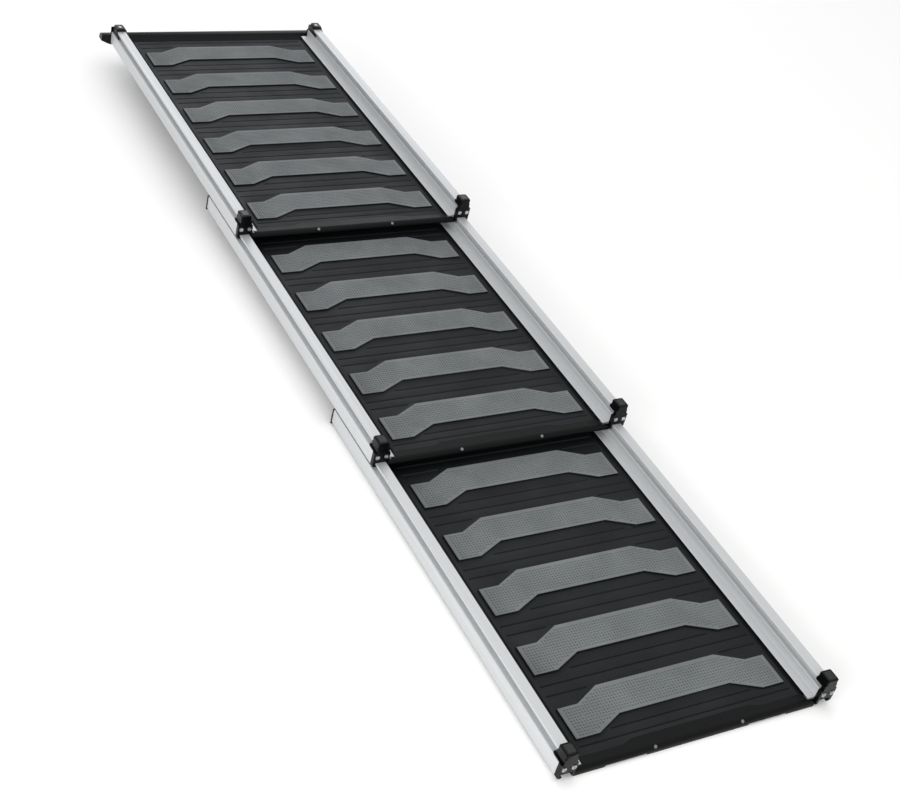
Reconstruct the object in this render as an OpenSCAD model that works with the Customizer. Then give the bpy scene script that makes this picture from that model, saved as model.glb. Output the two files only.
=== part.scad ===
// Three-section telescoping dog ramp, drawn fully extended and lying flat.
// X runs across the ramp, +Y up the ramp, +Z up. The lower section rests on the ground at Z = 0.

/* [Walking surface] */
// Number of treads on each section
tread_count = 6; // [4:1:7]
// Distance from one tread to the next
tread_pitch = 105; // [100:1:120]
// Length of a tread along the ramp
tread_length = 48.4; // [40:0.2:52]
// Width of a tread across the ramp
tread_width = 327; // [310:1:328]
// How far the middle of a tread is set up the ramp from its two ends
tread_shift = 19.8; // [10:0.2:22]
// Height of a tread's top above the deck
tread_rise = 2.6; // [1.8:0.1:2.6]

/* [Frame] */
// Overall width over the outer faces of the rails
frame_width = 427.2; // [427.2:0.2:450]
// Height from one section's deck to the next
stack_pitch = 25.85; // [25.4:0.05:26]
// Length of rail that stays nested when the ramp is fully out
overlap = 126; // [100:1:180]
// Wall thickness of the rail extrusion
wall = 1.6; // [1.4:0.1:1.8]

/* [Ends] */
// Overall width of the rest bar at the upper end
rest_bar_width = 458; // [440:1:480]
// Thickness of the rubber feet
foot_thickness = 2.5; // [1.5:0.5:4]
// How far a bumper pad stands above its corner cap
pad_proud = 0.8; // [0.4:0.1:1.2]

/* [Hidden] */
$fn = 32;
LOWER = 0;
MIDDLE = 1;
UPPER = 2;
eps = 0.01;

// Deck levels: the treads' tops are at Z = 0 in each section's own frame
deck_top = -tread_rise;
deck_floor = deck_top - 3;
deck_half = 188;
margin_in = 172;
margin_drop = 0.8;
pad_thickness = 1.4;
// Bends of a tread's upper and lower edges, as shares of its half width
upper_bends = [0.815, 0.575];
lower_bends = [0.788, 0.534];
plinth_drop = 0.6;
plinth_rim = 0.7;
seat_gap = 0.05;
rib_depth = 5;
rib_thickness = 2;
rib_half = 170;
rib_spacing = 50;
rib_row = -25;

// Grooves across the deck: half lengths, and places measured from each tread's upper edge
groove_half = 1.4;
groove_depth = 1.7;
groove_long = 166;
groove_short = 110;
groove_inner = 106;
short_row = -48.5;
long_row = -66.5;
side_row = -82.7;
last_short_row = -45;
last_long_row = -58.8;

// Rail section, measured from the ramp's centre line
rail_out = frame_width / 2;
rail_in = rail_out - 22.9;
head_in = rail_in + 2.8;
head_out = rail_out - 4.1;
head_top = 24.3;
head_floor = 20.8;
neck_in = head_in + 4.5;
neck_out = head_out - 4.5;
ledge_top = 15;
rail_floor = -7.5;
hook_gap = 0.7;
hook_in_tip = neck_in - hook_gap;
hook_out_tip = neck_out + hook_gap;
port_radius = 3.2;
port_bore = 1.6;
port_z = 9.2;
port_in = rail_in + wall + port_radius - 0.4;
port_out = rail_out - wall - port_radius + 0.4;
lip_in = rail_in - 12.6;
lip_top = 0.9;
lower_lip_top = deck_floor - 0.2;

// Rail ends, measured from the upper edge of a section's first tread
rail_high = 56;
rail_low = 22 - tread_count * tread_pitch;
rail_length = rail_high - rail_low;
reach = rail_length - overlap;
cap_plate = 6.5;
cap_front = rail_low - cap_plate;
screw_head = 1.8;
head_radius = 3.5;
head_step = 0.6;
screw_shank = 1.55;
screw_length = 24;
socket = 1.7;
socket_floor = 0.6;

// Corner cap
cap_back = rail_low + 13;
cap_in = rail_in - 1.2;
cap_out = rail_out + 1.2;
face_floor = -1;
leg_floor = -8;
leg_in = hook_out_tip + 4.6;
leg_hook = head_floor - stack_pitch - 0.65;
lip_back = cap_back + 4;
lip_thickness = 1.9;
skirt_in = head_in - 1.2;
skirt_floor = head_floor - 0.5;
tower_top = 33.7;
tower_in = head_in + 0.2;
tower_out = head_out + 2;
tower_mid = (tower_in + tower_out) / 2;
tower_y = (cap_front + cap_back) / 2;
tower_corner = 2;
tower_bevel = 0.6;
pad_x = 12.5;
pad_y = 14.5;
pad_corner = 2.5;
pad_gap = 0.3;
pad_depth = 3;

// Glide in the lower end of a channel, and the pin that holds it
stop_gap = 0.4;
glide_gap = 0.35;
pin_radius = 1.25;
pin_recess = 0.7;
pin_setback = 46.5;
pin_z = 17.4;

// Stop shoe at the upper end of each head flange
shoe_top = 30;
shoe_length = 19;
shoe_low = rail_high - shoe_length;
shoe_x = (head_in + head_out) / 2;
shoe_y = rail_high - shoe_length / 2;
shoe_corner = 2;
shoe_head = 3;
wing = 1.9;
wing_reach = 15;
plate_thickness = 2;

// Nose and bars
nose_half = lip_in - 0.4;
nose_back = rail_low + 11;
nose_step = 5.4;
step_in = 92;
step_out = 108;
nose_front = cap_front + 1;
nose_floor = -10;
nose_wall = 3;
nose_radius = deck_top - nose_floor - 0.2;
nose_centre = [nose_front + nose_radius, nose_floor + 0.2];
nose_rivet_x = 68.5;
nose_rivet_head = 2.3;
nose_rivet_height = 0.7;
nose_rivet_shank = 1.2;
nose_tilt = 40;
bar_depth = 12;
bar_wall = 3;
deck_high = rail_high - bar_depth - 0.2;
rest_lap = rail_high - 8;
rest_front = rail_high + plate_thickness;
rest_back = rail_high + 24;
rest_radius = 12.5;
rest_top = 6.5;
rest_floor = -11;
brace_width = 24;
brace_thickness = 2;
brace_top = lower_lip_top - 1.6;
brace_first = 0.9;
brace_last = tread_count - 1.1;
brace_rows = [-brace_first, -(brace_first + brace_last) / 2, -brace_last];
rivet_x = rail_in - 6.5;
rivet_radius = 2;
rivet_head = 3.4;
rivet_height = 1.1;

// Feet: depth of a strip, half width of the middle one, and where the outer ones begin
foot_width = 3.2;
foot_middle = 79;
foot_corner = 143;
foot_crossbar = 110;

ground = -nose_floor + foot_thickness;
y_mid = (cap_front - screw_head + rest_back + 2 * reach) / 2;

// ---------------------------------------------------------------- placing
// Puts a piece drawn in its section's own frame into the ramp's frame
module place(section)
    translate([0, section * reach - y_mid, section * stack_pitch + ground]) children();

// Keeps a right-hand piece (side 1) or turns it into the left-hand one (side -1)
module hand(side) {
    if (side > 0) children();
    else mirror([1, 0, 0]) children();
}

module both_sides() {
    children();
    mirror([1, 0, 0]) children();
}

// Extrudes a profile drawn in X and Z along the ramp
module along_y(y0, y1)
    translate([0, y1, 0]) rotate([90, 0, 0]) linear_extrude(y1 - y0) children();

// Extrudes a profile drawn in Y and Z across the ramp
module along_x(x0, x1)
    translate([x0, 0, 0]) rotate([90, 0, 90]) linear_extrude(x1 - x0) children();

// A box given by its lowest and highest corners
module block(low, high) translate(low) cube(high - low);

// A flat shape given by its lowest and highest corners, its four corners rounded with true arcs
module rounded(low, high, r) {
    translate([low[0] + r, low[1]]) square([high[0] - low[0] - 2 * r, high[1] - low[1]]);
    translate([low[0], low[1] + r]) square([high[0] - low[0], high[1] - low[1] - 2 * r]);
    for (x = [low[0] + r, high[0] - r], y = [low[1] + r, high[1] - r])
        translate([x, y]) circle(r);
}

module bar_2d(low, high) translate(low) square(high - low);

// A round bar along Y from y0 to y1
module rod_y(x, z, r, y0, y1)
    translate([x, y1, z]) rotate([90, 0, 0]) cylinder(r = r, h = y1 - y0);

// ---------------------------------------------------------------- rails
// The rail's cross-section: a head flange on a hollow neck, over a channel that is open
// downwards and hooks under the head of the rail below, with a slot for the deck's edge
module rail_section() difference() {
    union() {
        rounded([head_in, head_floor], [head_out, head_top], 0.9);
        bar_2d([neck_in, ledge_top - eps], [neck_out, head_floor + eps]);
        rounded([rail_in, ledge_top - wall], [rail_out, ledge_top], 0.7);
        bar_2d([rail_in, rail_floor + 0.8], [rail_in + wall, ledge_top - 0.7]);
        bar_2d([rail_out - wall, rail_floor + 0.8], [rail_out, ledge_top - 0.7]);
        rounded([rail_in, rail_floor], [hook_in_tip, rail_floor + 1.8], 0.7);
        rounded([hook_out_tip, rail_floor], [rail_out, rail_floor + 1.8], 0.7);
        rounded([lip_in, lip_top - 1.6], [rail_in + 0.8, lip_top], 0.6);
        rounded([lip_in + 0.9, lower_lip_top - 1.6], [rail_in + 0.8, lower_lip_top], 0.6);
        for (x = [port_in, port_out]) translate([x, port_z]) circle(port_radius);
    }
    bar_2d([neck_in + wall, ledge_top - wall], [neck_out - wall, head_floor + 1]);
    for (x = [port_in, port_out]) translate([x, port_z]) circle(port_bore);
}

module rail(side, pinned) color("silver") hand(side) difference() {
    along_y(rail_low, rail_high) rail_section();
    // cross hole for the pin that holds the glide
    if (pinned) glide_pin(pin_radius + 0.05, 1);
    // screw hole of the stop shoe
    translate([shoe_x, shoe_y, head_floor - eps]) cylinder(r = port_bore, h = 10);
    // rivet holes in the lower lip
    rivet_rows() cylinder(r = rivet_radius + 0.05, h = 6, center = true);
}

// Places a child at each place where a brace is riveted to the right-hand rail
module rivet_rows()
    for (row = brace_rows) translate([rivet_x, row * tread_pitch, lower_lip_top - 0.8]) children();

// ---------------------------------------------------------------- walking surface
// Outline of a tread, grown by g on each side: two ends joined by a middle set up the ramp
function tread_outline(g) = let (
        half = tread_width / 2,
        x = [half + g, half * upper_bends[0] + g / 2, half * upper_bends[1] + g / 2],
        xl = [half + g, half * lower_bends[0] - g / 2, half * lower_bends[1] - g / 2],
        top = [g, g, tread_shift + g],
        low = [-g - tread_length, -g - tread_length, tread_shift - tread_length - g])
    concat(
        [for (i = [0:2]) [x[i], top[i]]], [for (i = [2:-1:0]) [-x[i], top[i]]],
        [for (i = [0:2]) [-xl[i], low[i]]], [for (i = [2:-1:0]) [xl[i], low[i]]]);

// Grip pads, each set into a shallow seat in the top of its plinth
module treads() color("dimgray")
    for (i = [0:tread_count - 1]) translate([0, -i * tread_pitch, -pad_thickness])
        linear_extrude(pad_thickness) polygon(tread_outline(0));

module groove(x0, x1, y)
    along_x(x0, x1) translate([y, deck_top])
        polygon([[-groove_half, eps], [groove_half, eps], [0, -groove_depth]]);

// Outline of the deck's lower edge, which steps back in the middle where the nose covers it
module nose_outline(gap)
    polygon([
        [-nose_half - 20, cap_front - 5], [-nose_half - 20, nose_back + gap],
        [-step_out, nose_back + gap], [-step_in, nose_back + nose_step + gap],
        [step_in, nose_back + nose_step + gap], [step_out, nose_back + gap],
        [nose_half + 20, nose_back + gap], [nose_half + 20, cap_front - 5]]);

// The deck panel, moulded in one piece with a plinth under each tread and ribs underneath
module deck(high) color("#2b2b2e") difference() {
    union() {
        block([-deck_half, nose_back, deck_floor], [deck_half, high, deck_top]);
        for (i = [0:tread_count - 1]) translate([0, -i * tread_pitch, deck_top - eps])
            linear_extrude(tread_rise - plinth_drop + eps) polygon(tread_outline(plinth_rim));
        for (x = [-3 * rib_spacing:rib_spacing:3 * rib_spacing])
            block([x - rib_thickness / 2, nose_back + 8, deck_floor - rib_depth],
                [x + rib_thickness / 2, high - 4, deck_floor + eps]);
        for (i = [0:tread_count - 1])
            block([-rib_half, rib_row - i * tread_pitch - rib_thickness / 2, deck_floor - rib_depth],
                [rib_half, rib_row - i * tread_pitch + rib_thickness / 2, deck_floor + eps]);
    }
    for (i = [0:tread_count - 1]) translate([0, -i * tread_pitch, -pad_thickness - seat_gap])
        linear_extrude(pad_thickness + 1) polygon(tread_outline(seat_gap));
    for (i = [-1:tread_count - 2]) {
        groove(-groove_long, groove_long, long_row - i * tread_pitch);
        if (i >= 0) groove(-groove_short, groove_short, short_row - i * tread_pitch);
        groove(-groove_long, -groove_inner, side_row - i * tread_pitch);
        groove(groove_inner, groove_long, side_row - i * tread_pitch);
    }
    groove(-groove_short, groove_short, last_short_row - (tread_count - 1) * tread_pitch);
    groove(-groove_long, groove_long, last_long_row - (tread_count - 1) * tread_pitch);
    both_sides() block([margin_in, cap_front, deck_top - margin_drop],
        [deck_half + 1, rest_back, deck_top + 1]);
    translate([0, 0, -20]) linear_extrude(40) nose_outline(0.2);
    for (row = brace_rows)
        block([-deck_half - 1, row * tread_pitch - brace_width / 2 - 1, -40],
            [deck_half + 1, row * tread_pitch + brace_width / 2 + 1, deck_floor - 0.3]);
}

module braces() color("silver")
    for (row = brace_rows) difference() {
        block([-rail_in + 1, row * tread_pitch - brace_width / 2, brace_top - brace_thickness],
            [rail_in - 1, row * tread_pitch + brace_width / 2, brace_top]);
        both_sides() translate([rivet_x, row * tread_pitch, brace_top - 1])
            cylinder(r = rivet_radius + 0.05, h = 6, center = true);
    }

// Blind rivets: those of the braces, and the two on the face of the nose
module rivets() color("gainsboro") {
    both_sides() for (row = brace_rows) translate([rivet_x, row * tread_pitch, 0]) {
        translate([0, 0, brace_top - brace_thickness])
            cylinder(r = rivet_radius, h = lower_lip_top - brace_top + brace_thickness);
        translate([0, 0, brace_top - brace_thickness - rivet_height])
            cylinder(r = rivet_head, h = rivet_height);
    }
    both_sides() nose_rivet_place() {
        cylinder(r = nose_rivet_head, h = nose_rivet_height);
        translate([0, 0, -nose_wall - 0.4]) cylinder(r = nose_rivet_shank, h = nose_wall + 0.5);
    }
}

// ---------------------------------------------------------------- nose at the lower end
// Places a child on the nose's round front, its Z axis pointing out of the surface
module nose_rivet_place()
    translate([nose_rivet_x, nose_centre[0] - nose_radius * sin(nose_tilt),
        nose_centre[1] + nose_radius * cos(nose_tilt)])
        rotate([nose_tilt, 0, 0]) children();

// Profile of the nose: level with the deck at the back, rolled down to a blunt front edge
module nose_profile(back) difference() {
    intersection() {
        union() {
            translate(nose_centre) circle(nose_radius);
            bar_2d([nose_centre[0], nose_floor], [back, deck_top]);
        }
        bar_2d([nose_front - 1, nose_floor], [back + 1, deck_top]);
    }
    intersection() {
        union() {
            translate(nose_centre) circle(nose_radius - nose_wall);
            bar_2d([nose_centre[0], nose_floor - 20], [back + 2, deck_top - nose_wall]);
        }
        bar_2d([nose_front - 1, nose_floor - 20], [back + 2, deck_top - nose_wall]);
    }
}

module nose() color("#19191b") difference() {
    union() {
        intersection() {
            along_x(-nose_half, nose_half) nose_profile(nose_back + nose_step);
            translate([0, 0, -20]) linear_extrude(40) nose_outline(0);
        }
        along_x(-cap_in + 0.3, cap_in - 0.3) intersection() {
            nose_profile(nose_back + nose_step);
            bar_2d([cap_front - 5, -30], [rail_low - 0.3, 5]);
        }
    }
    both_sides() nose_rivet_place() cylinder(r = nose_rivet_shank + 0.05, h = 12, center = true);
}

// ---------------------------------------------------------------- corner caps
// Face of the cap in X and Z: a plate over the rail's end, rising to the head flange, with a leg
// on each side of the head of the rail below
module cap_face() {
    rounded([cap_in, face_floor], [cap_out, ledge_top + 1], 1);
    rounded([skirt_in, ledge_top - 4], [tower_out, head_top + 1], 1);
    polygon([[cap_out, face_floor + 3], [cap_out, leg_hook], [cap_out - 3, leg_floor],
        [leg_in - 2.5, leg_floor], [leg_in - 2.5, leg_hook], [leg_in, leg_hook],
        [leg_in, face_floor + 3]]);
    rounded([cap_in, rail_floor - 1.2], [head_in - 0.5, face_floor + 2], 0.7);
}

// The moulded cap that closes the lower end of a rail. Its tower stands on the head flange and
// wraps down both of the flange's sides; on the outside a thin foot lies on the rail's ledge.
module cap(side) color("#161618") hand(side) difference() {
    union() {
        along_y(cap_front, rail_low) cap_face();
        translate([0, 0, head_top + 0.02]) linear_extrude(tower_top - head_top - 1)
            rounded([tower_in, cap_front], [tower_out, cap_back], tower_corner);
        translate([0, 0, tower_top - 1.1]) linear_extrude(1.1)
            rounded([tower_in + tower_bevel, cap_front + tower_bevel],
                [tower_out - tower_bevel, cap_back - tower_bevel], tower_corner);
        block([head_out + 0.1, cap_front, ledge_top + 0.02], [tower_out, cap_back, head_top + 1]);
        block([skirt_in, cap_front, skirt_floor], [head_in - 0.1, cap_back, head_top + 1]);
        block([skirt_in, cap_front, head_top + 0.02], [tower_in + 1, cap_back, head_top + 1]);
        translate([0, 0, ledge_top + 0.02]) linear_extrude(lip_thickness) polygon([
            [neck_out + 0.4, cap_front], [cap_out, cap_front], [cap_out, rail_low],
            [rail_out, rail_low], [rail_out, lip_back - 3], [rail_out - 1.5, lip_back],
            [neck_out + 0.4, lip_back]]);
    }
    // pocket of the bumper pad
    translate([0, 0, tower_top - pad_depth]) linear_extrude(20) pad_outline(pad_gap);
    for (x = [port_in, port_out]) rod_y(x, port_z, 2.1, cap_front - 1, rail_low + 1);
}

// Outline of a bumper pad, grown by g on each side
module pad_outline(g)
    rounded([tower_mid - pad_x / 2 - g, tower_y - pad_y / 2 - g],
        [tower_mid + pad_x / 2 + g, tower_y + pad_y / 2 + g], pad_corner + g);

// Pads set into the tops of the corner caps, which the section above runs up against
module bumper_pads() color("#242427") both_sides() {
    translate([0, 0, tower_top - pad_depth + 0.02]) linear_extrude(pad_depth) pad_outline(0);
    translate([0, 0, tower_top - 0.1]) linear_extrude(pad_proud + 0.1) pad_outline(-0.8);
}

// Socket-head screw whose head rests at y = 0 and whose shank runs towards +Y
module port_screw() difference() {
    union() {
        rod_y(0, 0, screw_shank, -0.5, screw_length);
        rod_y(0, 0, head_radius, head_step - screw_head, -0.02);
        rod_y(0, 0, head_radius - head_step, -screw_head, -1);
    }
    translate([0, -socket_floor, 0]) rotate([90, 0, 0]) cylinder(r = socket, h = 5, $fn = 6);
}

module cap_screws() color("gainsboro") both_sides() for (x = [port_in, port_out])
    translate([x, cap_front, port_z]) port_screw();

// ---------------------------------------------------------------- inside the rails
// Low-friction liner in the lower end of a channel, with a tongue pinned in the hollow neck.
// The shoe of the rail below meets its end when the section is fully out.
module glide(side) color("ivory") hand(side) difference() {
    glide_high = shoe_low - reach - stop_gap;
    base = head_top - stack_pitch + glide_gap;
    along_y(rail_low + 0.1, glide_high) {
        bar_2d([rail_in + wall + 0.4, base], [rail_out - wall - 0.4, base + 2.8]);
        bar_2d([port_in + port_radius + 0.3, base], [port_out - port_radius - 0.3,
            ledge_top - wall - 0.1]);
        bar_2d([head_out + 0.4, base - 3.8], [rail_out - wall - 0.4, base + eps]);
        bar_2d([neck_in + wall + 0.2, base], [neck_out - wall - 0.2, head_floor - 1]);
    }
    glide_pin(pin_radius + 0.05, 1);
}

// Pin across the neck of a right-hand rail, longer than the neck by this much at each end
module glide_pin(r, longer)
    translate([neck_in - longer, rail_low + pin_setback, pin_z]) rotate([0, 90, 0])
        cylinder(r = r, h = neck_out - neck_in + 2 * longer);

module glide_pins() color("gray") both_sides() glide_pin(pin_radius, -pin_recess);

// Stop shoe on the upper end of the head flange
module shoe(side, wings) color("#1d1d1f") hand(side) difference() {
    union() {
        translate([0, 0, head_top + 0.02]) linear_extrude(shoe_top - head_top - 1)
            rounded([head_in + 0.7, shoe_low], [head_out + 0.7, rail_high], shoe_corner);
        translate([0, 0, shoe_top - 1.1]) linear_extrude(1.1)
            rounded([head_in + 1.4, shoe_low + 0.7], [head_out, rail_high - 0.7], shoe_corner);
        if (wings) {
            for (x = [head_in - wing, head_out + 0.05]) along_x(x, x + wing - 0.05) polygon([
                [rail_high, head_top + 2], [shoe_low + 2, head_top + 2],
                [shoe_low - wing_reach, ledge_top + 0.3], [rail_high, ledge_top + 0.3]]);
            block([head_in - wing, shoe_low + 2, head_top + 0.02],
                [head_out + wing, rail_high, head_top + 2]);
        }
    }
    translate([shoe_x, shoe_y, head_top - 1]) {
        cylinder(r = port_bore, h = 20);
        translate([0, 0, shoe_top - head_top - 0.8]) cylinder(r = shoe_head + 0.2, h = 5);
    }
}

module shoe_screws() color("gainsboro") both_sides()
    translate([shoe_x, shoe_y, 0]) difference() {
        union() {
            translate([0, 0, head_floor - 4])
                cylinder(r = screw_shank, h = shoe_top - head_floor + 2.5);
            translate([0, 0, shoe_top - 1.75]) cylinder(r = shoe_head, h = 1.65);
        }
        block([-4, -0.45, shoe_top - 1], [4, 0.45, shoe_top + 1]);
    }

// Outline of the plate that closes the upper end of a rail
module plate_section() rounded([cap_in, rest_floor], [cap_out, ledge_top + 0.8], 1);

// Thin plates on the rails of the lower and middle sections, each with two pegs in the ports.
// Above the ledge they follow the head flange, so that the section above slides past them.
module end_plates() color("#161618") both_sides() {
    along_y(rail_high + 0.02, rail_high + plate_thickness) {
        plate_section();
        bar_2d([neck_in, ledge_top], [neck_out, head_floor + 1]);
        rounded([head_in, head_floor], [head_out, head_top], 0.9);
    }
    for (x = [port_in, port_out]) rod_y(x, port_z, 1.5, rail_high - 10, rail_high + 1);
}

// ---------------------------------------------------------------- upper ends
// Bar that ties the rails together at the upper end of the lower and middle sections
module crossbar() color("#19191b") difference() {
    union() {
        block([-deck_half, rail_high - bar_depth, deck_floor],
            [deck_half, rail_high, deck_top]);
        block([-nose_half, rail_high - bar_depth, nose_floor],
            [nose_half, rail_high + plate_thickness, deck_top]);
    }
    block([-nose_half + bar_wall, rail_high - bar_depth + bar_wall, nose_floor - 1],
        [nose_half - bar_wall, rail_high - 1, deck_floor]);
}

// Rounded bar at the top of the ramp that lies on the vehicle's sill, wider than the rails.
// It is moulded in one with the two plates that close the rails.
module rest_profile(front) difference() {
    union() {
        translate([rest_back - rest_radius, rest_top - rest_radius]) circle(rest_radius);
        polygon([[front, deck_top],
            [rest_back - 1.5 * rest_radius, rest_top - 2],
            [rest_back - 0.8 * rest_radius, rest_floor - 1], [front, rest_floor - 1]]);
    }
    bar_2d([front - 1, rest_floor - 20], [rest_back + 1, rest_floor]);
    bar_2d([front - 20, rest_floor - 20], [front, rest_top + 1]);
}

module rest_bar() color("#1b1b1d") difference() {
    union() {
        along_x(-nose_half, nose_half) rest_profile(rest_lap);
        both_sides() along_y(rail_high + 0.02, rest_front + 0.1) {
            plate_section();
            rounded([head_in - 2, 8], [cap_out, head_top + 0.6], 1);
        }
        difference() {
            along_x(-rest_bar_width / 2, rest_bar_width / 2) rest_profile(rest_front);
            // the ears taper on their near side and underneath
            both_sides() linear_extrude(60, center = true) polygon([
                [rail_out, rest_front - 1], [rest_bar_width / 2 + 1, rest_front + 7],
                [rest_bar_width / 2 + 1, rest_front - 1]]);
            both_sides() along_y(rest_front - 5, rest_back + 5) polygon([
                [rail_out, rest_floor - 1], [rest_bar_width / 2 + 1, rest_floor + 4],
                [rest_bar_width / 2 + 1, rest_floor - 1]]);
        }
    }
    both_sides() for (x = [port_in, port_out]) {
        rod_y(x, port_z, 2.1, rail_high - 1, rest_front + 3);
        rod_y(x, port_z, head_radius + 0.5, rest_front + 0.1, rest_back);
    }
}

// Screws of the rest bar, in the upper ends of the rails' screw ports
module bar_screws() color("gainsboro") both_sides() for (x = [port_in, port_out])
    translate([x, rest_front + 0.1, port_z]) rotate([0, 0, 180]) port_screw();

// Rubber feet: three strips under the nose and two under the crossbar
module feet() color("#101010") {
    floor_z = nose_floor - foot_thickness;
    block([-foot_middle, nose_front, floor_z],
        [foot_middle, nose_front + foot_width, nose_floor - 0.02]);
    both_sides() {
        block([foot_corner, nose_front, floor_z],
            [cap_in - 1, nose_front + foot_width, nose_floor - 0.02]);
        block([foot_crossbar, rest_front - foot_width, floor_z],
            [nose_half - 2, rest_front, nose_floor - 0.02]);
    }
}

// ---------------------------------------------------------------- the lower section's pieces
module lower_rail_left() place(LOWER) rail(-1, false);
module lower_rail_right() place(LOWER) rail(1, false);
module lower_deck() place(LOWER) deck(deck_high);
module lower_treads() place(LOWER) treads();
module lower_nose() place(LOWER) nose();
module lower_crossbar() place(LOWER) crossbar();
module lower_braces() place(LOWER) braces();
module lower_cap_left() place(LOWER) cap(-1);
module lower_cap_right() place(LOWER) cap(1);
module lower_shoe_left() place(LOWER) shoe(-1, false);
module lower_shoe_right() place(LOWER) shoe(1, false);
module lower_end_plates() place(LOWER) end_plates();
module lower_cap_screws() place(LOWER) cap_screws();
module lower_bumper_pads() place(LOWER) bumper_pads();
module lower_rivets() place(LOWER) rivets();
module lower_shoe_screws() place(LOWER) shoe_screws();
module lower_feet() place(LOWER) feet();

// ---------------------------------------------------------------- the middle section's pieces
module middle_rail_left() place(MIDDLE) rail(-1, true);
module middle_rail_right() place(MIDDLE) rail(1, true);
module middle_deck() place(MIDDLE) deck(deck_high);
module middle_treads() place(MIDDLE) treads();
module middle_nose() place(MIDDLE) nose();
module middle_crossbar() place(MIDDLE) crossbar();
module middle_braces() place(MIDDLE) braces();
module middle_cap_left() place(MIDDLE) cap(-1);
module middle_cap_right() place(MIDDLE) cap(1);
module middle_shoe_left() place(MIDDLE) shoe(-1, false);
module middle_shoe_right() place(MIDDLE) shoe(1, false);
module middle_end_plates() place(MIDDLE) end_plates();
module middle_cap_screws() place(MIDDLE) cap_screws();
module middle_bumper_pads() place(MIDDLE) bumper_pads();
module middle_rivets() place(MIDDLE) rivets();
module middle_shoe_screws() place(MIDDLE) shoe_screws();
module middle_glide_left() place(MIDDLE) glide(-1);
module middle_glide_right() place(MIDDLE) glide(1);
module middle_glide_pins() place(MIDDLE) glide_pins();

// ---------------------------------------------------------------- the upper section's pieces
module upper_rail_left() place(UPPER) rail(-1, true);
module upper_rail_right() place(UPPER) rail(1, true);
module upper_deck() place(UPPER) deck(rest_lap - 0.2);
module upper_treads() place(UPPER) treads();
module upper_nose() place(UPPER) nose();
module upper_rest_bar() place(UPPER) rest_bar();
module upper_braces() place(UPPER) braces();
module upper_cap_left() place(UPPER) cap(-1);
module upper_cap_right() place(UPPER) cap(1);
module upper_shoe_left() place(UPPER) shoe(-1, true);
module upper_shoe_right() place(UPPER) shoe(1, true);
module upper_cap_screws() place(UPPER) cap_screws();
module upper_bumper_pads() place(UPPER) bumper_pads();
module upper_rivets() place(UPPER) rivets();
module upper_shoe_screws() place(UPPER) shoe_screws();
module upper_bar_screws() place(UPPER) bar_screws();
module upper_glide_left() place(UPPER) glide(-1);
module upper_glide_right() place(UPPER) glide(1);
module upper_glide_pins() place(UPPER) glide_pins();

lower_rail_left();
lower_rail_right();
lower_deck();
lower_treads();
lower_nose();
lower_crossbar();
lower_braces();
lower_cap_left();
lower_cap_right();
lower_shoe_left();
lower_shoe_right();
lower_end_plates();
lower_cap_screws();
lower_bumper_pads();
lower_rivets();
lower_shoe_screws();
lower_feet();
middle_rail_left();
middle_rail_right();
middle_deck();
middle_treads();
middle_nose();
middle_crossbar();
middle_braces();
middle_cap_left();
middle_cap_right();
middle_shoe_left();
middle_shoe_right();
middle_end_plates();
middle_cap_screws();
middle_bumper_pads();
middle_rivets();
middle_shoe_screws();
middle_glide_left();
middle_glide_right();
middle_glide_pins();
upper_rail_left();
upper_rail_right();
upper_deck();
upper_treads();
upper_nose();
upper_rest_bar();
upper_braces();
upper_cap_left();
upper_cap_right();
upper_shoe_left();
upper_shoe_right();
upper_cap_screws();
upper_bumper_pads();
upper_rivets();
upper_shoe_screws();
upper_bar_screws();
upper_glide_left();
upper_glide_right();
upper_glide_pins();
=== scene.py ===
"""Dog ramp: three telescoping sections of aluminium rails, black moulded decks and grey grip treads."""

import math

import bmesh
import bpy
import numpy as np
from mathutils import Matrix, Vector
from mathutils.geometry import tessellate_polygon


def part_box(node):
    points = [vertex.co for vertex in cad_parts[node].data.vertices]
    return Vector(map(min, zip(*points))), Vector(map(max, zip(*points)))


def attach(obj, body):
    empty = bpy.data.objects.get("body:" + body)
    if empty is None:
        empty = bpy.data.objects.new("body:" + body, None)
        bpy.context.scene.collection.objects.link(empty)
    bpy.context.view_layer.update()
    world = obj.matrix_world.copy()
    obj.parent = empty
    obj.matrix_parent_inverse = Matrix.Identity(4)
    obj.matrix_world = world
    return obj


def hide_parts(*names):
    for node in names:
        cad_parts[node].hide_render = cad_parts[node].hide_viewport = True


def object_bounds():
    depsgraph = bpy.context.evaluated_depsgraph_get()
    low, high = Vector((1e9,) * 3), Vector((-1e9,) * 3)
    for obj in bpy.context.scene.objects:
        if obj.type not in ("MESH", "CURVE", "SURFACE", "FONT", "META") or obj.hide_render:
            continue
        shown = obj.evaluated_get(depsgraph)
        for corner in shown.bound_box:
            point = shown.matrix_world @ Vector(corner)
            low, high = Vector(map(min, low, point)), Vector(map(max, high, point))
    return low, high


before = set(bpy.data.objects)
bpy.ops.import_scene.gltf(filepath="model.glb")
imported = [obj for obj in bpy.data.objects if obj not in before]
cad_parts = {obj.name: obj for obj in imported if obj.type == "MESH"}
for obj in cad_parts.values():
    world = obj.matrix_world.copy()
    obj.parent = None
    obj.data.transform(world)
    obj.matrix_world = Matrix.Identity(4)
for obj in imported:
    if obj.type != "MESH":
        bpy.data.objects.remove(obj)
cad_box = [list(corner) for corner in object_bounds()]
MM = 0.001
SECTIONS = ("lower", "middle", "upper")

# ---------------------------------------------------------------- camera
# Stands 1.4 m above the floor, to the left of the ramp's lower end, and looks down and up along
# it, turned a little on its own axis, through a slightly long lens.
CAMERA_PLACE = (-1.1362, -1.7232, 1.4025)
CAMERA_RIGHT = Vector((0.868775, -0.445760, 0.215704))
CAMERA_FORWARD = Vector((0.478935, 0.645584, -0.594847))
LENS_MM = 61.61
SENSOR_MM = 36.0

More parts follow.
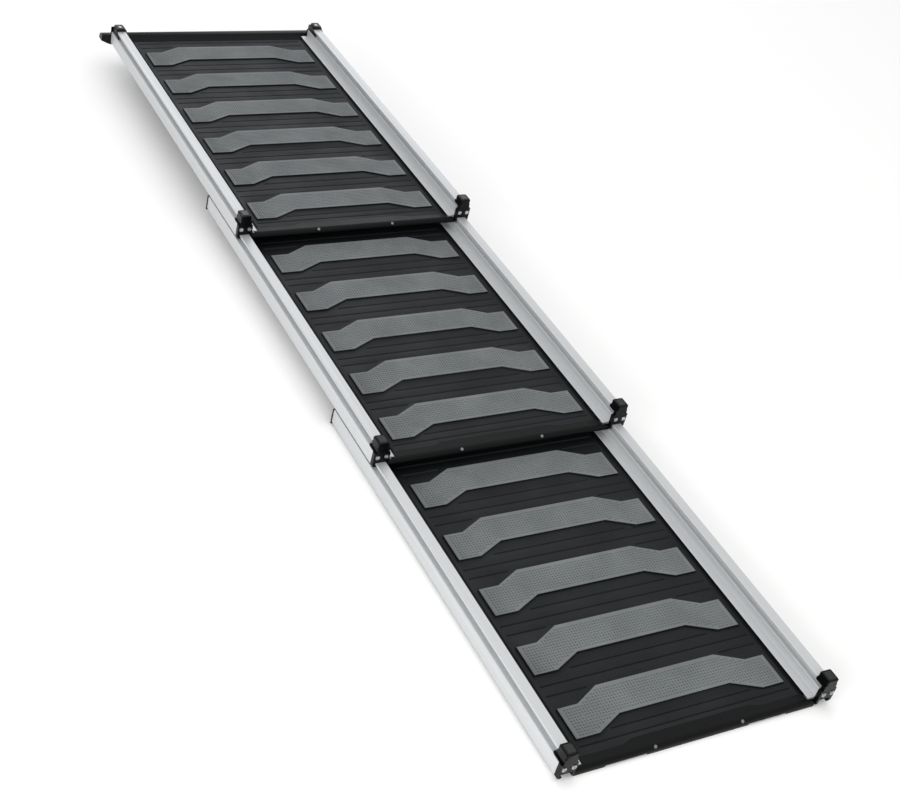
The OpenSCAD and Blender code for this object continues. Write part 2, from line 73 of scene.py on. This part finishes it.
camera_data = bpy.data.cameras.new("camera")
camera_data.sensor_width = SENSOR_MM
camera_data.lens = LENS_MM
camera_data.clip_end = 60.0
camera = bpy.data.objects.new("camera", camera_data)
bpy.context.scene.collection.objects.link(camera)
camera.matrix_world = Matrix((
    (*(CAMERA_RIGHT), 0.0), (*(CAMERA_RIGHT.cross(CAMERA_FORWARD)), 0.0),
    (*(-CAMERA_FORWARD), 0.0), (0.0, 0.0, 0.0, 1.0))).transposed()
camera.location = CAMERA_PLACE
bpy.context.scene.camera = camera


# ---------------------------------------------------------------- floor and light
# A plain pale floor that runs out of sight, an even white surround, a broad soft light overhead,
# one beyond the upper end that grazes the decks, and a wide one low on the left of the lower end.
FLOOR_HALF = 30.0
FLOOR_COLOUR = "#F4F4F3"
FLOOR_GAP = 0.2
SURROUND = 0.86
# the part of a noise texture's range over which wear goes from one value to the other
NOISE_LOW, NOISE_HIGH = 0.3, 0.7


def linear(hex_colour):
    """Linear RGBA of an sRGB hex colour: each channel c becomes ((c + 0.055) / 1.055) ** 2.4."""
    c = np.array([int(hex_colour[i:i + 2], 16) / 255 for i in (1, 3, 5)])
    low = c / 12.92
    high = ((c + 0.055) / 1.055) ** 2.4
    return (*np.where(c <= 0.04045, low, high).tolist(), 1.0)


def add(tree, kind, inputs=None, **settings):
    """Adds a node: settings are its properties, and inputs are values or other nodes' outputs."""
    made = tree.nodes.new("ShaderNode" + kind)
    for name, value in settings.items():
        setattr(made, name, value)
    for name, value in (inputs or {}).items():
        if isinstance(value, bpy.types.NodeSocket):
            tree.links.new(value, made.inputs[name])
        else:
            made.inputs[name].default_value = value
    return made


def material(name):
    """A new empty node material: (material, its tree, its surface node)."""
    made = bpy.data.materials.new(name)
    made.use_nodes = True
    tree = made.node_tree
    return made, tree, tree.nodes["Principled BSDF"]


def object_grid(tree, *scale):
    """Object coordinates times a scale for each axis, in repeats per metre."""
    place = add(tree, "TexCoord").outputs["Object"]
    return add(tree, "Mapping", {"Vector": place, "Scale": scale}).outputs["Vector"]


def wear(tree, shader, coordinates, light, dark, rough, spread, size):
    """Slow change of colour between two hex colours and of roughness by spread, size mm across."""
    slow = add(tree, "TexNoise", {"Vector": coordinates, "Scale": 1000 / size, "Detail": 4.0})
    ramp = add(tree, "MapRange", {"Value": slow.outputs["Fac"], "From Min": NOISE_LOW,
                                  "From Max": NOISE_HIGH})
    tint = add(tree, "Mix", {"Factor": ramp.outputs["Result"], "A": linear(light), "B": linear(dark)},
               data_type="RGBA")
    tree.links.new(tint.outputs["Result"], shader.inputs["Base Color"])
    gloss = add(tree, "MapRange", {"Value": slow.outputs["Fac"], "From Min": NOISE_LOW,
                                   "From Max": NOISE_HIGH, "To Min": rough - spread,
                                   "To Max": rough + spread})
    tree.links.new(gloss.outputs["Result"], shader.inputs["Roughness"])


def area_light(name, place, target, size, watts, colour="#FFFFFF"):
    """A rectangular lamp at a place, facing a target; lengths in metres."""
    data = bpy.data.lights.new(name, "AREA")
    data.shape = "RECTANGLE"
    data.size, data.size_y = size
    data.energy = watts
    data.color = linear(colour)[:3]
    lamp = bpy.data.objects.new(name, data)
    lamp.location = place
    lamp.rotation_euler = (Vector(target) - Vector(place)).to_track_quat("-Z", "Y").to_euler()
    bpy.context.scene.collection.objects.link(lamp)


floor_mesh = bpy.data.meshes.new("floor")
floor_mesh.from_pydata([(-FLOOR_HALF, -FLOOR_HALF, 0), (FLOOR_HALF, -FLOOR_HALF, 0),
                        (FLOOR_HALF, FLOOR_HALF, 0), (-FLOOR_HALF, FLOOR_HALF, 0)], [], [(0, 1, 2, 3)])
floor = bpy.data.objects.new("floor", floor_mesh)
floor.location.z = cad_box[0][2] - FLOOR_GAP * MM
bpy.context.scene.collection.objects.link(floor)
floor_paint, tree, shader = material("painted_floor")
shader.inputs["Base Color"].default_value = linear(FLOOR_COLOUR)
shader.inputs["Roughness"].default_value = 0.8
floor_mesh.materials.append(floor_paint)

world = bpy.data.worlds.new("studio")
bpy.context.scene.world = world
world.use_nodes = True
world.node_tree.nodes["Background"].inputs["Color"].default_value = linear("#FFFFFF")
world.node_tree.nodes["Background"].inputs["Strength"].default_value = SURROUND
area_light("overhead", (-0.3, 0.0, 2.8), (0, 0, 0), (3.4, 4.4), 22)
area_light("far_end", (0.9, 3.4, 1.9), (0, 0.4, 0), (2.6, 1.8), 18, "#F4F7FF")
area_light("left_low", (-2.2, -1.5, 0.9), (0, -0.7, 0.05), (2.0, 1.2), 40)
bpy.context.scene.view_settings.view_transform = "Standard"


# ---------------------------------------------------------------- rails
# Anodised aluminium extrusions, etched before anodising: satin, with faint lines drawn along
# the length by the die and a fine matt grain. The braces riveted across below the decks are of
# the same metal. Line and grain sizes are in mm; streaks squeeze the wear pattern across.
DIE_LINE = 0.5
STREAKS = 60
DIE_LINE_LENGTH = 400.0
ETCH_GRAIN = 1.2

anodised, tree, shader = material("anodised_aluminium")
shader.inputs["Metallic"].default_value = 0.45
wear(tree, shader, object_grid(tree, STREAKS, 0.15, STREAKS), "#C6C8C9", "#B9BBBD", 0.45, 0.05, 60)
lines = add(tree, "TexNoise", {
    "Vector": object_grid(tree, 1000 / DIE_LINE, 1000 / DIE_LINE_LENGTH, 1000 / DIE_LINE),
    "Scale": 1.0, "Detail": 3.0})
grain = add(tree, "TexNoise", {"Vector": object_grid(tree, 1, 1, 1), "Scale": 1000 / ETCH_GRAIN})
drawn = add(tree, "Bump", {"Height": lines.outputs["Fac"], "Strength": 0.5, "Distance": 0.06 * MM})
etched = add(tree, "Bump", {"Height": grain.outputs["Fac"], "Strength": 0.3, "Distance": 0.06 * MM,
                            "Normal": drawn.outputs["Normal"]})
tree.links.new(etched.outputs["Normal"], shader.inputs["Normal"])


def dress(names, paint):
    """Gives the CAD nodes with these names a material."""
    for name in names:
        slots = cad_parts[name].data.materials
        slots.clear()
        slots.append(paint)


dress([f"{s}_rail_{side}" for s in SECTIONS for side in ("left", "right")], anodised)
dress([f"{s}_braces" for s in SECTIONS], anodised)

# ---------------------------------------------------------------- decks
# Black polypropylene mouldings with V grooves across them, held by their side edges in slots of
# the rails. The mould is spark-eroded, which leaves an even, fine-pitted, half-matt skin; the
# size of a pit is in mm.
PIT = 0.9

deck_skin, tree, shader = material("spark_eroded_polypropylene")
shader.inputs["IOR"].default_value = 1.49
shader.inputs["Specular IOR Level"].default_value = 0.22
wear(tree, shader, object_grid(tree, 1, 1, 1), "#0D1013", "#080A0C", 0.55, 0.06, 70)
pits = add(tree, "TexNoise", {"Vector": object_grid(tree, 1, 1, 1), "Scale": 1000 / PIT, "Detail": 2.0})
skin = add(tree, "Bump", {"Height": pits.outputs["Fac"], "Strength": 0.6, "Distance": 0.14 * MM})
tree.links.new(skin.outputs["Normal"], shader.inputs["Normal"])


def make(name, body, paint, shells, node=None, smooth=30):
    """One object from shells of (vertices in mm, faces), riding on a body, standing for a node."""
    starts = np.cumsum([0] + [len(v) for v, _ in shells])
    vertices = np.concatenate([v for v, _ in shells]) * MM
    faces = [[i + start for i in f] for (_, fs), start in zip(shells, starts) for f in fs]
    mesh = bpy.data.meshes.new(name)
    mesh.from_pydata(vertices.tolist(), [], faces)
    return place_piece(name, mesh, body, paint, node, smooth)


def place_piece(name, mesh, body, paint, node=None, smooth=30):
    """Puts a mesh in the scene at the origin, riding on a body and standing for a CAD node."""
    mesh.polygons.foreach_set("use_smooth", np.ones(len(mesh.polygons), bool))
    mesh.set_sharp_from_angle(angle=math.radians(smooth))
    mesh.materials.clear()
    mesh.materials.append(paint)
    made = bpy.data.objects.new(name, mesh)
    bpy.context.scene.collection.objects.link(made)
    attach(made, body)
    if node:
        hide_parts(node)
    return made


def softened(node, paint, radius, segments=2):
    """A moulding with rounded edges: the CAD node's triangles are merged, its flat faces joined,
    and each edge sharper than 40 degrees is rounded to a radius in mm."""
    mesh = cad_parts[node].data.copy()
    work = bmesh.new()
    work.from_mesh(mesh)
    bmesh.ops.remove_doubles(work, verts=work.verts, dist=0.004 * MM)
    bmesh.ops.dissolve_limit(work, angle_limit=math.radians(1.0), verts=work.verts, edges=work.edges)
    work.to_mesh(mesh)
    work.free()
    made = place_piece(f"{node}_moulding", mesh, f"{node.split('_')[0]}_section", paint, node, 40)
    round_off = made.modifiers.new("round_off", "BEVEL")
    round_off.width = radius * MM
    round_off.segments = segments
    round_off.limit_method = "ANGLE"
    round_off.angle_limit = math.radians(40)
    round_off.harden_normals = True
    return made


DECK_EDGE = 0.35
for section in SECTIONS:
    softened(f"{section}_deck", deck_skin, DECK_EDGE, 1)

# ---------------------------------------------------------------- treads
# Grey rubber grip pads set into black plinths on the deck, bowed up the ramp in the middle. The
# top has a smooth border round an even grid of small square dimples, moulded in one with the pad.
TREAD_COUNT = 6
TREAD_PITCH = 105.0
TREAD_LENGTH = 48.4
TREAD_SHIFT = 19.8
EDGE = 0.4
DIMPLE_PITCH = 4.4
DIMPLE_RIM = 2.6
DIMPLE_FLOOR = 1.7
DIMPLE_DEPTH = 1.0
BORDER = 1.3
# outer end, then the two bends of an edge, as shares of the half width
UPPER_BENDS = (1.0, 0.815, 0.575)
LOWER_BENDS = (1.0, 0.788, 0.534)


def inset(outline, distance):
    """An anticlockwise outline moved inwards: each point moves along the sum of its two edges'
    outward normals, divided by one plus their dot product."""
    ahead = np.roll(outline, -1, 0) - outline
    ahead /= np.linalg.norm(ahead, axis=1)[:, None]
    normal = np.stack([ahead[:, 1], -ahead[:, 0]], 1)
    before = np.roll(normal, 1, 0)
    mitre = (normal + before) / (1 + (normal * before).sum(1))[:, None]
    return outline - mitre * distance


def skirt(outline, low, high, edge, steps=3):
    """Walls and floor of a slab from height low to high, its top edge a quarter circle of radius
    edge: ring k is inset by edge (1 - cos a) at height high - edge (1 - sin a)."""
    a = np.linspace(0, math.pi / 2, steps + 1)
    insets = np.concatenate([[0.0], edge * (1 - np.cos(a))])
    heights = np.concatenate([[low], high - edge * (1 - np.sin(a))])
    rings = np.stack([np.column_stack([inset(outline, d), np.full(len(outline), h)])
                      for d, h in zip(insets, heights)])
    index = np.arange(rings.shape[0] * rings.shape[1]).reshape(rings.shape[:2])
    walls = np.stack([index[:-1], np.roll(index[:-1], -1, 1), np.roll(index[1:], -1, 1), index[1:]], -1)
    return rings.reshape(-1, 3), walls.reshape(-1, 4).tolist() + [index[0, ::-1].tolist()]


def tread_edge(x, half, bends):
    """Height along the ramp of a tread's edge at x: 0 at the ends, the shift between the bends."""
    return TREAD_SHIFT * np.clip((bends[1] - np.abs(x) / half) / (bends[1] - bends[2]), 0, 1)


def tread_outline(half):
    """Anticlockwise outline of a tread whose ends' upper edge is at y = 0."""
    upper = [(s * UPPER_BENDS[i] * half, TREAD_SHIFT * (i == 2))
             for s, order in ((1, (0, 1, 2)), (-1, (2, 1, 0))) for i in order]
    lower = [(s * LOWER_BENDS[i] * half, TREAD_SHIFT * (i == 2) - TREAD_LENGTH)
             for s, order in ((-1, (0, 1, 2)), (1, (2, 1, 0))) for i in order]
    return np.array(upper + lower, float)


def dimples(half, top):
    """The tread's top at one height: square cells that fit inside the border, each a frame round a
    frustum-shaped dimple, and triangles from the cells' stepped edge out to the outline."""
    columns = 2 * int((half - BORDER) / DIMPLE_PITCH)
    x = (np.arange(columns + 1) - columns / 2) * DIMPLE_PITCH
    far = np.maximum(np.abs(x[:-1]), np.abs(x[1:]))
    near = np.minimum(np.abs(x[:-1]), np.abs(x[1:]))
    y0 = -TREAD_LENGTH + BORDER
    last = np.floor((tread_edge(far, half, UPPER_BENDS) - BORDER - y0) / DIMPLE_PITCH).astype(int)
    first = np.ceil(tread_edge(near, half, LOWER_BENDS) / DIMPLE_PITCH).astype(int)
    column, row = np.nonzero(np.arange(last.max())[None] < last[:, None])
    keep = row >= first[column]
    column, row = column[keep], row[keep]
    centre = np.stack([(x[column] + x[column + 1]) / 2, y0 + (row + 0.5) * DIMPLE_PITCH], 1)
    square = np.array([(-1, -1), (1, -1), (1, 1), (-1, 1)]) / 2
    rings = np.concatenate([square * DIMPLE_PITCH, square * DIMPLE_RIM, square * DIMPLE_FLOOR])
    depth = np.repeat([top, top, top - DIMPLE_DEPTH], 4)
    flat = centre[:, None, :] + rings[None]
    cells = np.concatenate([flat, np.broadcast_to(depth[None, :, None], (len(centre), 12, 1))], 2)
    ring = np.arange(4)
    turn = np.roll(ring, -1)
    quads = np.concatenate([np.stack([ring, turn, turn + 4, ring + 4], 1),
                            np.stack([ring + 4, turn + 4, turn + 8, ring + 8], 1), [ring + 8]])
    faces = quads[None] + 12 * np.arange(len(centre))[:, None, None]
    steps = [np.stack([np.repeat(x, 2)[1:-1], np.repeat(y0 + rows * DIMPLE_PITCH, 2)], 1)
             for rows in (first, last)]
    side = np.arange(first[0] + 1, last[0]) * DIMPLE_PITCH + y0
    loop = np.concatenate([steps[0], np.stack([np.full(len(side), x[-1]), side], 1), steps[1][::-1],
                           np.stack([np.full(len(side), x[0]), side[::-1]], 1)])
    loop = loop[np.linalg.norm(loop - np.roll(loop, 1, 0), axis=1) > 1e-6]
    outer = inset(tread_outline(half), EDGE)
    points = np.concatenate([outer, loop])
    frame_triangles = np.array(tessellate_polygon(
        [[Vector((*p, 0)) for p in outer], [Vector((*p, 0)) for p in loop]]))
    a, b, c = (points[frame_triangles[:, k]] for k in range(3))
    area = (b[:, 0] - a[:, 0]) * (c[:, 1] - a[:, 1]) - (b[:, 1] - a[:, 1]) * (c[:, 0] - a[:, 0])
    frame_triangles[area < 0] = frame_triangles[area < 0][:, ::-1]
    frame_triangles = frame_triangles[np.abs(area) > 1e-9]
    border = np.column_stack([points, np.full(len(points), top)])
    return [(cells.reshape(-1, 3), faces.reshape(-1, 4).tolist()), (border, frame_triangles.tolist())]


def welded(shells):
    """One shell of several that share edges: points on the same hundredth of a mm become one."""
    starts = np.cumsum([0] + [len(v) for v, _ in shells])
    points = np.concatenate([v for v, _ in shells])
    _, kept, place = np.unique(np.round(points, 2), axis=0, return_index=True, return_inverse=True)
    place = place.ravel()
    faces = [[int(place[i + start]) for i in f] for (_, fs), start in zip(shells, starts) for f in fs]
    return points[kept], faces


def shifted(shell, y):
    """A shell moved along the ramp: each point p becomes p + (0, y, 0)."""
    return shell[0] + np.array([0, y, 0]), shell[1]


rubber, tree, shader = material("moulded_grey_rubber")
shader.inputs["IOR"].default_value = 1.52
shader.inputs["Specular IOR Level"].default_value = 0.2
wear(tree, shader, object_grid(tree, 1, 1, 1), "#6E7273", "#646869", 0.66, 0.07, 45)
dust = add(tree, "TexNoise", {"Vector": object_grid(tree, 1, 1, 1), "Scale": 1000 / 0.7, "Detail": 3.0})
skin = add(tree, "Bump", {"Height": dust.outputs["Fac"], "Strength": 0.3, "Distance": 0.08 * MM})
tree.links.new(skin.outputs["Normal"], shader.inputs["Normal"])

for section in SECTIONS:
    low, high = (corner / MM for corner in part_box(f"{section}_treads"))
    first_row = high.y - TREAD_SHIFT
    pad = welded([skirt(tread_outline(high.x), low.z, high.z, EDGE)] + dimples(high.x, high.z))
    make(f"{section}_tread_pads", f"{section}_section", rubber,
         [shifted(pad, y=first_row - TREAD_PITCH * i) for i in range(TREAD_COUNT)], f"{section}_treads")

# ---------------------------------------------------------------- black mouldings
# The noses, crossbars, rest bar, end plates and corner caps: black ABS from a polished mould,
# with a soft shine and a faint ripple where the plastic shrank. The caps and the rest bar are
# screwed to the rails' ends.
gloss, tree, shader = material("polished_black_abs")
shader.inputs["IOR"].default_value = 1.53
shader.inputs["Specular IOR Level"].default_value = 0.12
wear(tree, shader, object_grid(tree, 1, 1, 1), "#060708", "#040505", 0.28, 0.06, 40)
ripple = add(tree, "TexNoise", {"Vector": object_grid(tree, 1, 1, 1), "Scale": 1000 / 9.0, "Detail": 1.0})
sink = add(tree, "Bump", {"Height": ripple.outputs["Fac"], "Strength": 0.4, "Distance": 0.3 * MM})
tree.links.new(sink.outputs["Normal"], shader.inputs["Normal"])
MOULDING_EDGE = 0.6
for section in SECTIONS:
    softened(f"{section}_nose", gloss, MOULDING_EDGE, 3)
    for side in ("left", "right"):
        softened(f"{section}_cap_{side}", gloss, MOULDING_EDGE)
for node in ("lower_crossbar", "middle_crossbar", "lower_end_plates", "middle_end_plates",
             "upper_rest_bar"):
    softened(node, gloss, MOULDING_EDGE)

# ---------------------------------------------------------------- stop shoes
# Black nylon blocks screwed to the upper ends of the head flanges.
nylon, tree, shader = material("satin_black_nylon")
shader.inputs["IOR"].default_value = 1.53
shader.inputs["Specular IOR Level"].default_value = 0.25
wear(tree, shader, object_grid(tree, 1, 1, 1), "#0D0E0F", "#090A0B", 0.40, 0.07, 12)
for node in (f"{s}_shoe_{side}" for s in SECTIONS for side in ("left", "right")):
    softened(node, nylon, 0.4)

# ---------------------------------------------------------------- bumper pads
# Rubber pads pressed into the tops of the corner caps.
bumper, tree, shader = material("satin_black_rubber")
shader.inputs["Specular IOR Level"].default_value = 0.45
wear(tree, shader, object_grid(tree, 1, 1, 1), "#0A0B0C", "#060707", 0.22, 0.06, 6)
for section in SECTIONS:
    softened(f"{section}_bumper_pads", bumper, 0.35)

# ---------------------------------------------------------------- feet
# Strips of soft black rubber under the lower section.
foot, tree, shader = material("matt_black_rubber")
wear(tree, shader, object_grid(tree, 1, 1, 1), "#1E1E1F", "#161617", 0.75, 0.08, 9)
dress(["lower_feet"], foot)

# ---------------------------------------------------------------- glides
# Natural acetal liners inside the channels, with a faint uneven tone and gloss.
acetal, tree, shader = material("natural_acetal")
wear(tree, shader, object_grid(tree, 1, 1, 1), "#E7E3D6", "#DDD8C9", 0.45, 0.06, 8)
dress([f"{s}_glide_{side}" for s in SECTIONS[1:] for side in ("left", "right")], acetal)

# ---------------------------------------------------------------- screws, rivets and pins
# Zinc-plated steel screws in the rails' ports and head flanges, duller aluminium rivets through
# the braces and noses, and blackened steel pins, each sunk a little in the wall of its rail.
zinc, tree, shader = material("zinc_plated_steel")
shader.inputs["Metallic"].default_value = 1.0
wear(tree, shader, object_grid(tree, 1, 1, 1), "#C9CBCC", "#AEB0B2", 0.30, 0.08, 2)
dress([f"{s}_{part}" for s in SECTIONS for part in ("cap_screws", "shoe_screws")], zinc)
dress(["upper_bar_screws"], zinc)
dulled, tree, shader = material("dull_aluminium_rivets")
shader.inputs["Metallic"].default_value = 0.9
wear(tree, shader, object_grid(tree, 1, 1, 1), "#8E9092", "#75777A", 0.45, 0.08, 2)
dress([f"{s}_rivets" for s in SECTIONS], dulled)
blackened, tree, shader = material("blackened_steel")
shader.inputs["Metallic"].default_value = 0.6
wear(tree, shader, object_grid(tree, 1, 1, 1), "#2A2B2D", "#1C1D1F", 0.40, 0.08, 2)
dress(["middle_glide_pins", "upper_glide_pins"], blackened)
